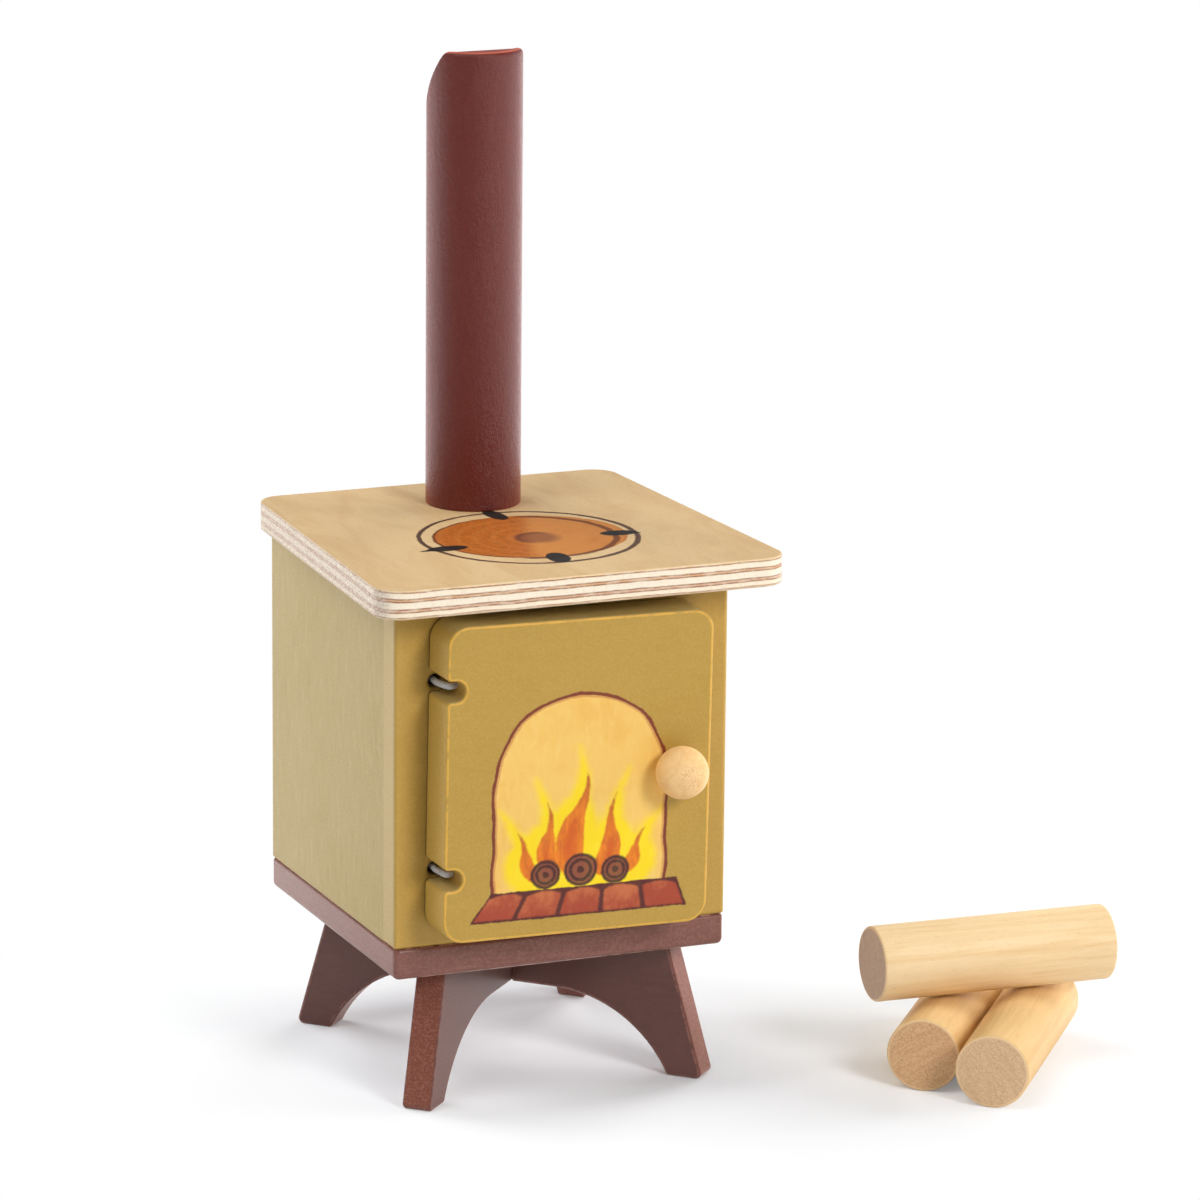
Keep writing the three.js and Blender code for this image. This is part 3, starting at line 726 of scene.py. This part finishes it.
def fluePipe():
    radius = (flueHigh[0] - flueLow[0]) / 2
    middle = (flueLow + flueHigh) / 2
    slope = math.tan(math.radians(flueShape["cutAngle"]))

    def top(points):
        behind = points[:, 1] + flueShape["ridge"]
        soft = flueShape["blend"]
        return -slope * (behind + np.sqrt(behind ** 2 + soft ** 2)) / 2

    rows = np.concatenate([np.arange(*row) for row in flueShape["rows"]])
    grid = gridPoints(np.arange(*flueShape["across"]), rows)
    outline = circle(0, 0, radius, flueShape["sides"])
    pipe = easedBoard("fluePipe", [outline], flueHigh[2] - flueLow[2], fluePaint,
                      front=flueShape["edge"], back=flueShape["bottomEdge"], top=top, extra=grid)
    return seat(pipe, "stove", "flue_pipe", (middle[0], middle[1], flueLow[2]))


fluePipe()
print("top plate and flue made")


# Door with its painted fire

fireShape = dict(
    # window: where its middle is, half width, height of the arch's centre, bottom
    windowX=0.4, windowHalf=16.9, archZ=-1.25, bottomZ=-20.8,
    # flames: base, two bends and tip of each tongue, with its half width
    tongues=[((-1.0, -17.5), (-4.6, -9.5), (2.9, -5.0), (1.2, 0.6), 3.5),
             ((-5.2, -17.5), (-8.6, -12.8), (-3.9, -9.6), (-6.6, -4.4), 2.5),
             ((4.4, -17.5), (8.4, -13.0), (4.0, -9.4), (7.4, -3.2), 2.6),
             ((-9.0, -18.2), (-11.6, -15.8), (-9.8, -12.8), (-12.4, -9.6), 1.7),
             ((9.2, -18.2), (12.0, -16.0), (10.2, -13.4), (12.9, -10.6), 1.7)],
    # the glow round each tongue, and how softly those glows join
    glowWider=4.0, glowLonger=5.2, glowJoin=1.6,
    # log ends: centre and radius, and how much wider than high they are
    logs=[(-6.6, -18.1, 2.9), (0.3, -17.7, 3.3), (7.2, -18.2, 2.8)], logSquash=1.06,
    # hearth: bottom and top corners, how many bricks, their shades and the roundness of their tops
    hearth=((-21.05, -26.35), (21.95, -26.25), (19.8, -20.7), (-16.85, -20.85)), bricks=5,
    shades=[0.2, 0.75, 0.45, 1.0, 0.0, 0.6], crown=0.9,
    # the painted face's fine points: from, to and step
    gridX=(-21.6, 22.6, 0.34), gridY=(-27.4, 16.2, 0.34), tongueSteps=60)


def tongueDistance(points, tongue, wider=0.0, longer=0.0):
    # how far each point is from a tongue of flame, and how far along it, from 0 to 1
    base, first, second, tip, width = [np.asarray(v, float) for v in tongue]
    tip = tip + (tip - second) / np.linalg.norm(tip - second) * longer
    best, share = np.full(len(points), 99.0), np.zeros(len(points))
    for t in np.linspace(0, 1, fireShape["tongueSteps"]):
        u = 1 - t
        spot = u ** 3 * base + 3 * u ** 2 * t * first + 3 * u * t ** 2 * second + t ** 3 * tip
        size = (width + wider) * (0.62 + 0.38 * math.sin(math.pi * min(t * 1.7, 1))) * u ** 0.85
        near = np.linalg.norm(points - spot, axis=1) - size
        closer = near < best
        best[closer] = near[closer]
        share[closer] = t
    return best, share


def fireValues(points):
    # for each point, in millimetres, how far it is outside each part of the picture
    s = fireShape
    x, z = points[:, 0] - s["windowX"], points[:, 1]
    above = z > s["archZ"]
    window = np.where(above, np.hypot(x, z - s["archZ"]), np.abs(x)) - s["windowHalf"]
    ripple = 0.16 * np.sin(z * 0.45) + 0.1 * np.sin(z * 0.9 + 1.0)
    window = np.maximum(window + ripple, s["bottomZ"] - 2 - z)
    shifted = np.column_stack([x, z])
    flames, glow, logs = [np.full(len(points), 99.0) for k in range(3)]
    share, logRadius = np.zeros(len(points)), np.zeros(len(points))
    for tongue in s["tongues"]:
        near, along = tongueDistance(shifted, tongue)
        closer = near < flames
        flames[closer], share[closer] = near[closer], along[closer]
        wide = tongueDistance(shifted, tongue, s["glowWider"], s["glowLonger"])[0]
        rest = np.clip(0.5 + 0.5 * (wide - glow) / s["glowJoin"], 0, 1)
        glow = wide + (glow - wide) * rest - s["glowJoin"] * rest * (1 - rest)
    for cx, cz, radius in s["logs"]:
        near = np.hypot(x - cx, (z - cz) * s["logSquash"])
        closer = near - radius < logs
        logs[closer], logRadius[closer] = near[closer] - radius, near[closer] / radius
    corners = [np.array(p, float) for p in s["hearth"]]
    hearth = np.full(len(points), -99.0)
    for a, b in zip(corners, corners[1:] + corners[:1]):
        d = (b - a) / np.linalg.norm(b - a)
        hearth = np.maximum(hearth, (points[:, 0] - a[0]) * d[1] - (points[:, 1] - a[1]) * d[0])
    low, high = corners[0][1], corners[2][1]
    rise = np.clip((z - low) / (high - low), 0, 1)
    left = corners[0][0] + (corners[3][0] - corners[0][0]) * rise
    right = corners[1][0] + (corners[2][0] - corners[1][0]) * rise
    column = (points[:, 0] - left) / (right - left) * s["bricks"]
    inBrick = np.abs(column - np.floor(column) - 0.5)
    joint = (0.5 - inBrick) * (right - left) / s["bricks"]
    crown = high - s["crown"] * (inBrick * 2) ** 2 - z
    brick = np.minimum(joint, np.minimum(crown, np.abs(z - low)))
    shade = np.take(s["shades"], np.clip(np.floor(column), 0, s["bricks"]).astype(int))
    return {"window": np.clip(window, -9, 9), "glow": glow, "flames": flames, "flameShare": share,
            "logEnds": logs, "logRing": logRadius, "hearth": hearth, "brick": brick, "brickShade": shade,
            "brickRise": rise}


def paintFire(put, tone, plain):
    # seam is the colour of the painted shade in the gap next to the front panel
    look = dict(field="F2C566", fieldWarm="EDB654", fieldPale="F5D382", outline="7A281D", fringe="B0452E",
                glow="FAD900", glowPale="F8E53C", flame="EE7F12", flameDeep="CC5A1C", flameTip="B4521F",
                core="D03F16", log="8A4A34", logDark="42201F", hearth="A6442A", hearthLight="C56C40",
                joint="471C1D", seam="2E2410", gapShadeShare=0.9)
    value = lambda key: attributeOf(put, key)
    coarse = minus(noise(plain, 0.35, 3.0, 0.6), 0.5)
    small = minus(noise(plain, 1.3, 3.0, 0.65), 0.5)
    wash = noise(plain, 0.11, 4.0, 0.6, 0.8)
    brush = noise(millimetres(put, (0.8, 0.25, 1)), 0.8, 5.0, 0.7, 0.6)
    shaken = lambda key, much, little: plus(value(key), times(coarse, much), times(small, little))
    field = blend(ease(wash, 0.45, 0.7, 0.0, 0.75), look["field"], look["fieldWarm"])
    field = coats(field, look, (brush, 0.4, 0.75, 0.0, 0.45, "fieldPale"))
    yellow = blend(ease(brush, 0.5, 0.75, 0.0, 0.4), look["glow"], look["glowPale"])
    field = blend(ease(shaken("glow", 1.6, 0.5), -1.0, 1.2, 0.97, 0.0), field, yellow)
    flames = shaken("flames", 0.7, 0.35)
    orange = blend(ease(brush, 0.3, 0.7), look["flameDeep"], look["flame"])
    orange = coats(orange, look, (value("flameShare"), 0.5, 0.95, 0.0, 0.8, "flameTip"),
                   (flames, -1.9, -0.9, 0.5, 0.0, "core"))
    field = blend(ease(flames, -0.2, 0.3, 0.95, 0.0), field, orange)
    logs = shaken("logEnds", 0.5, 0.4)
    turns = calc("SINE", plus(times(value("logRing"), 13.0), times(small, 3.0)))
    bark = blend(ease(turns, -0.2, 0.8), look["log"], look["logDark"])
    bark = coats(bark, look, (logs, -0.75, -0.35, 0.0, 1.0, "logDark"))
    field = blend(ease(logs, -0.2, 0.3, 0.97, 0.0), field, bark)
    window = shaken("window", 0.5, 0.25)
    tone = blend(ease(window, -0.15, 0.15, 1.0, 0.0), tone, field)
    outline = plus(unsigned(plus(window, -0.1)), times(coarse, 0.3))
    tone = coats(tone, look, (unsigned(plus(window, 0.4)), 0.05, 0.35, 0.45, 0.0, "fringe"),
                 (outline, 0.2, 0.42, 0.95, 0.0, "outline"))
    shade = plus(times(value("brickShade"), 0.35), times(value("brickRise"), 0.5), times(coarse, 1.2))
    clay = blend(ease(plus(shade, times(brush, 0.6)), 0.5, 1.2), look["hearth"], look["hearthLight"])
    clay = coats(clay, look, (plus(value("brick"), times(small, 0.5)), 0.2, 0.75, 0.9, 0.0, "joint"))
    tone = blend(ease(shaken("hearth", 0.5, 0.3), -0.12, 0.14, 1.0, 0.0), tone, clay)
    # painted shade: the sides go dark near the back, where the board lies close to the front panel
    paintedGapShade = ease(put("SeparateXYZ", {0: plain}, out=2), 0.4, 0.8, look["gapShadeShare"], 0.0)
    paintedGapShade = times(paintedGapShade, ease(value("cap"), 0.7, 1.0, 1.0, 0.0))
    return blend(paintedGapShade, tone, look["seam"])


def doorPanel():
    s = doorShape
    halfWidth, halfHeight = s["width"] / 2, s["height"] / 2
    corners = rectangle(-halfWidth, -halfHeight, halfWidth, halfHeight, s["corner"])
    deep, inside = s["notchDepth"] - halfWidth, s["notchHeight"] / 2 - 0.01
    for z in notchHeights:
        up, down = z + s["notchHeight"] / 2, z - s["notchHeight"] / 2
        corners += [(-halfWidth, up, s["notchLip"]), (deep, up, inside), (deep, down, inside),
                    (-halfWidth, down, s["notchLip"])]
    grid = gridPoints(np.arange(*fireShape["gridX"]), np.arange(*fireShape["gridY"]))
    paint = paintedWood("mustardDoorPaint", doorLook, paintFire)
    panel = easedBoard("doorPanel", [corners], s["thickness"], paint, front=s["edge"],
                       back=s["backEdge"], support=0.3, extra=grid, steps=5, extraValues=fireValues)
    middle = Vector((doorCentre[0], doorHigh[1], doorCentre[2]))
    return seat(panel, "door", "door_panel", middle, doorLean @ standing())


doorPanel()
print("door made")


# Knob: a turned ball with a flat seat

knobShape = dict(diameter=9.8, seat=4.0, sides=56, rings=26)


def doorKnob():
    radius, n = knobShape["diameter"] / 2, knobShape["sides"]
    start = -math.acos(knobShape["seat"] / 2 / radius)
    middle = math.sqrt(radius ** 2 - (knobShape["seat"] / 2) ** 2)
    points, faces = [(0.0, 0.0, 0.0)], []
    for k in range(knobShape["rings"]):
        a = start + (math.pi / 2 - start) * k / knobShape["rings"]
        ring = circle(0, 0, radius * math.cos(a), n)
        points += [(x, y, middle + radius * math.sin(a)) for x, y in ring]
        if k:
            faces += strip(len(points) - 2 * n, len(points) - n, n)
    last = len(points) - n
    points.append((0.0, 0.0, middle + radius))
    for i in range(n):
        j = (i + 1) % n
        faces += [(0, 1 + j, 1 + i), (last + i, last + j, last + n)]
    ball = meshPiece("doorKnob", points, faces, knobWood,
                     {"rim": np.zeros(len(points)), "cap": np.array(points)[:, 2] / (middle + radius)})
    low, high = boxOf("door_knob")
    spot = ((low[0] + high[0]) / 2, high[1], (low[2] + high[2]) / 2)
    return seat(ball, "door", "door_knob", spot, standing())


doorKnob()


# Hinge cords: woven elastic from a knot inside the body to the door's edge

cordShape = dict(diameter=1.2, sides=20, steps=150, knot=3.6, tail=2.2, knotGap=0.4, socket=6.0, gap=0.3,
                 freeShare=0.65, weaveDepth=0.035, weaveTurns=3, weavePitch=4.5)


def cordMaterial():
    look = dict(pale="F0F2F6", dark="C6C9D0", thread="FFFFFF", alongPitch=9.0, aroundPitch=6.0)
    material, put = newMaterial("greyElastic")
    along = times(attributeOf(put, "cordAlong"), look["alongPitch"])
    around = times(attributeOf(put, "cordAround"), look["aroundPitch"])
    first, second = calc("SINE", plus(along, around)), calc("SINE", minus(along, around))
    weave = calc("MAXIMUM", first, second)
    tone = blend(ease(weave, -0.4, 0.9), look["dark"], look["pale"])
    tone = coats(tone, look, (times(first, second), 0.35, 0.9, 0.0, 0.6, "thread"))
    finishSurface(put, tone, 0.75, weave, 0.7, 0.00015,
                  {"Specular IOR Level": 0.3, "Sheen Weight": 0.6, "Sheen Roughness": 0.5})
    return material


def smoothPath(knots, count, between=24):
    # count points, evenly spaced on a curve through the knots; between is its fineness
    knots = np.array(knots, float)
    padded = np.vstack([2 * knots[0] - knots[1], knots, 2 * knots[-1] - knots[-2]])
    fine = []
    for i in range(1, len(padded) - 2):
        a, b, c, d = padded[i - 1:i + 3]
        for t in np.linspace(0, 1, between, endpoint=False):
            fine.append(0.5 * (2 * b + (c - a) * t + (2 * a - 5 * b + 4 * c - d) * t ** 2
                               + (3 * b - a - 3 * c + d) * t ** 3))
    fine = np.array(fine + [knots[-1]])
    run = np.concatenate([[0], np.cumsum(np.linalg.norm(np.diff(fine, axis=0), axis=1))])
    even = np.linspace(0, run[-1], count)
    return np.stack([np.interp(even, run, fine[:, k]) for k in range(3)], 1), even


def hingeCord(name, node, height, material):
    s = cordShape
    holeZ = doorCentre[2] + height
    panelFront, panelBack = frontLow[1], frontHigh[1]
    knotRadius, thin = s["knot"] / 2, s["diameter"]
    knot = np.array([frontLow[0] + bodyShape["panel"] + knotRadius + s["knotGap"],
                     panelBack + knotRadius + s["knotGap"], holeZ])
    throughPanel = lambda y: np.array([cordHoleX, y, holeZ])

    def inDoor(x):
        turned = doorLean @ Vector((x - doorShape["width"] / 2, 0, height))
        return np.array([doorCentre[0] + turned.x, doorHigh[1] - doorShape["thickness"] / 2,
                         doorCentre[2] + turned.z])

    deep = doorShape["notchDepth"]
    between = (inDoor(deep - thin) * s["freeShare"]
               + throughPanel(panelFront - doorShape["thickness"] / 2) * (1 - s["freeShare"]))
    path, run = smoothPath(
        [knot + (s["tail"] / 2, s["tail"] + knotRadius, 0), knot, throughPanel(panelBack - thin),
         throughPanel(panelFront + thin), throughPanel(panelFront - s["gap"] - thin / 2), between,
         inDoor(deep), inDoor(deep + thin), inDoor(deep + s["socket"] - thin)], s["steps"])
    tangent = np.gradient(path, axis=0)
    tangent /= np.linalg.norm(tangent, axis=1)[:, None]
    across = np.cross(tangent, [0, 0, 1.0])
    across /= np.linalg.norm(across, axis=1)[:, None]
    upward = np.cross(across, tangent)
    n, steps = s["sides"], len(path)
    turns = (np.arange(n) * 2 * math.pi / n)[None, :, None]
    swell = 1 - (np.linalg.norm(path - knot, axis=1) / knotRadius) ** 2
    radius = np.maximum(thin / 2, np.sqrt(np.maximum(swell, 0)) * knotRadius)[:, None, None]
    weave = np.cos(s["weaveTurns"] * turns) * np.cos(run * s["weavePitch"])[:, None, None]
    spokes = across[:, None] * np.cos(turns) + upward[:, None] * np.sin(turns)
    points = path[:, None] + radius * (1 + s["weaveDepth"] * weave) * spokes
    faces = [face for i in range(steps - 1) for face in strip(i * n, (i + 1) * n, n)]
    faces += [tuple(reversed(range(n))), tuple(range((steps - 1) * n, steps * n))]
    around = 2 * math.pi * np.abs(2 * np.arange(n) / n - 1)
    cord = meshPiece(name, points.reshape(-1, 3), faces, material,
                     {"cordAlong": np.repeat(run, n), "cordAround": np.tile(around, steps)})
    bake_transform(cord)
    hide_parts(node)
    return cord


greyElastic = cordMaterial()
hingeCord("upperHingeCord", "upper_hinge_cord", notchHeights[0], greyElastic)
hingeCord("lowerHingeCord", "lower_hinge_cord", notchHeights[1], greyElastic)
print("knob and cords made")


# Logs

logShape = dict(edge=0.4, sides=72, pairTurn=37.64, topTurn=92.87)


def looseLog(name, node, turn, look):
    low, high = boxOf(node)
    middle = Vector((low + high) / 2)
    radius = (high[2] - low[2]) / 2
    turned = math.radians(turn)
    length = (high[0] - low[0] - 2 * radius * abs(math.cos(turned))) / math.sin(turned)
    wood = bareWood(name + "Wood", dict(logLook, **look))
    outline = circle(0, 0, radius, logShape["sides"])
    log = easedBoard(name, [outline], length, wood, front=logShape["edge"], back=logShape["edge"],
                     support=0.25)
    place = Matrix.Rotation(-turned, 3, "Z") @ standing()
    start = middle - (place @ Vector((0, 0, length / 2)))
    return seat(log, node, node, start, place)


looseLog("logLeft", "log_left", logShape["pairTurn"], dict(pith=(-5.0, 7.0), endTurn=-35))
looseLog("logRight", "log_right", logShape["pairTurn"],
         dict(pith=(8.0, 5.0), colour="E6C087", dark="DCB174", end="E0BE98", endDark="C8A27B", endTurn=50))
looseLog("logTop", "log_top", logShape["topTurn"],
         dict(pith=(2.0, -7.5), colour="F3D6A8", dark="EAC792", end="CDB096", endDark="B69780", endTurn=90,
              ringShare=0.13, rings=1.9, wobble=7.0, fine=0.12))

for name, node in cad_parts.items():
    if "_peg" in name:
        node.data.materials.clear()
        node.data.materials.append(pegWood)
print("logs made")


# Camera, at the photograph's place

cameraShape = dict(place=(-442.74, -1107.77, 386.54), yaw=0.3965, pitch=0.2453, roll=0.0090, lens=197.0)


def placeCamera():
    s = cameraShape
    camera = bpy.data.objects.new("camera", bpy.data.cameras.new("camera"))
    bpy.context.scene.collection.objects.link(camera)
    axes = (Matrix.Rotation(-s["yaw"], 3, "Z") @ Matrix.Rotation(math.pi / 2 - s["pitch"], 3, "X")
            @ Matrix.Rotation(s["roll"], 3, "Z"))
    spot = (Vector(s["place"]) + Vector((bodyX, bodyY, 0))) * 0.001
    camera.matrix_world = Matrix.Translation(spot) @ axes.to_4x4()
    camera.data.lens = s["lens"]
    camera.data.sensor_width = 36.0
    camera.data.clip_start = 0.01
    camera.data.clip_end = 20.0
    bpy.context.scene.camera = camera


placeCamera()


# Floor, world and lamps

lightShape = dict(
    worldLight=0.04, floorRadius=3000.0, floorSides=48, floorTone=0.82, floorSeen=(0.94, 0.965, 1.0),
    floorLift=0.08,
    # the shadows fade away round this spot, counted from the body's middle
    fadeX=40.0, fadeY=10.0, nearEdge=50.0, farEdge=135.0,
    # what shiny surfaces see: pale screens round the toy, and their glare on the floor
    # degrees round from +X, cosines at which a screen begins and is full, brightness
    screens=[(66, 0.1, 0.9, 0.3), (6, 0.57, 0.65, 0.45), (333, 0.94, 0.968, 0.8), (141, 0.84, 0.96, 0.8)],
    glare=[(66, 0.1, 0.9, 0.3), (20, 0.8, 0.95, 1.6), (141, 0.84, 0.96, 0.3)],
    glareNear=30.0, glareFar=120.0, screensNear=110.0, screensFar=230.0,
    # a pale patch under the stove, for the near leg
    patchX=34.0, patchFrom=30.0, patchTo=75.0, patchGlare=0.34,
    # name, degrees round from +X, degrees up, watts, diameter, seen in reflections; sizes in metres
    lamps=[("backLeftSoft", 119, 18, 10.2, 0.8, False), ("backRightSoft", 34, 18, 7.6, 0.8, False),
           ("rightSoft", 350, 20, 6.4, 0.6, False), ("front", 284, 28, 7.4, 0.4, True),
           ("leftHigh", 180, 64, 3.7, 0.7, True), ("overhead", 0, 90, 1.9, 0.7, True),
           ("frontLeftHigh", 205, 40, 2.6, 0.7, True)],
    lampDistance=1.2, aim=(-0.01, 0.0, 0.07))


def screenLight(put, towards, screens):
    total = 0.0
    for around, begins, full, brightness in screens:
        turn = math.radians(around)
        cosine = put("VectorMath", {0: towards, 1: (math.cos(turn), math.sin(turn), 0)}, out=1,
                     operation="DOT_PRODUCT")
        total = plus(ease(cosine, begins, full, 0.0, brightness), total)
    return total


def even(put, kind, strength):
    # white light of one strength
    return put(kind, {"Color": [1, 1, 1, 1], "Strength": strength})


def floorAndWorld():
    # the floor keeps its shadows near the toy and is plain white for the camera further off
    s = lightShape
    material, put = newMaterial("paleFloor")
    place = millimetres(put)
    distanceTo = lambda x, y: put("VectorMath", {0: place, 1: (x, y, 0)}, out=1, operation="DISTANCE")
    reach = distanceTo(0, 0)
    apart = distanceTo(bodyX + s["fadeX"], bodyY + s["fadeY"])
    lit = put("BsdfDiffuse", {"Color": [s["floorTone"]] * 3 + [1]})
    bright = put("BsdfDiffuse", {"Color": list(s["floorSeen"]) + [1]})
    fade = ease(apart, s["nearEdge"], s["farEdge"], s["floorLift"], 1.0)
    seen = put("MixShader", {0: fade, 1: bright, 2: even(put, "Emission", 1.0)})
    onFloor = put("VectorMath", {0: place}, operation="NORMALIZE")
    nearby = times(screenLight(put, onFloor, s["glare"]),
                   ease(reach, s["screensNear"], s["screensFar"], 1.0, 0.0))
    distant = times(screenLight(put, onFloor, s["screens"]), ease(reach, s["screensNear"], s["screensFar"]))
    glare = times(plus(nearby, distant), ease(reach, s["glareNear"], s["glareFar"]))
    fromPatch = distanceTo(bodyX + s["patchX"], bodyY)
    glare = plus(glare, ease(fromPatch, s["patchFrom"], s["patchTo"], s["patchGlare"], 0.0))
    shiny = put("AddShader", {0: lit, 1: even(put, "Emission", glare)})
    rays = put("LightPath").node.outputs
    both = put("MixShader", {0: rays["Is Camera Ray"], 1: lit, 2: seen})
    put("OutputMaterial", {"Surface": put("MixShader", {0: rays["Is Glossy Ray"], 1: both, 2: shiny})})
    points = [(0, 0, 0)] + [(x, y, 0) for x, y in circle(0, 0, s["floorRadius"], s["floorSides"])]
    faces = [(0, 1 + i, 1 + (i + 1) % s["floorSides"]) for i in range(s["floorSides"])]
    meshPiece("floor", points, faces, material)

    world = bpy.data.worlds.new("studio")
    bpy.context.scene.world = world
    world.use_nodes = True
    world.node_tree.nodes.clear()
    put = nodeMaker(world.node_tree)
    rays = put("LightPath").node.outputs
    screens = screenLight(put, put("TexCoord"), s["screens"])
    lights = put("MixShader", {0: rays["Is Glossy Ray"], 1: even(put, "Background", s["worldLight"]),
                               2: even(put, "Background", screens)})
    whole = put("MixShader", {0: rays["Is Camera Ray"], 1: lights, 2: even(put, "Background", 1.0)})
    put("OutputWorld", {"Surface": whole})


def placeLamps():
    s = lightShape
    for name, around, up, power, size, mirrored in s["lamps"]:
        lamp = bpy.data.lights.new(name, "AREA")
        lamp.shape = "DISK"
        lamp.size = size
        lamp.energy = power
        thing = bpy.data.objects.new(name, lamp)
        bpy.context.scene.collection.objects.link(thing)
        thing.visible_glossy = mirrored
        around, up = math.radians(around), math.radians(up)
        away = Vector((math.cos(around) * math.cos(up), math.sin(around) * math.cos(up), math.sin(up)))
        turn = (-away).to_track_quat("-Z", "Y").to_matrix().to_4x4()
        thing.matrix_world = Matrix.Translation(Vector(s["aim"]) + away * s["lampDistance"]) @ turn


floorAndWorld()
placeLamps()
bpy.context.scene.view_settings.view_transform = "Standard"
print("camera, floor and lamps placed")
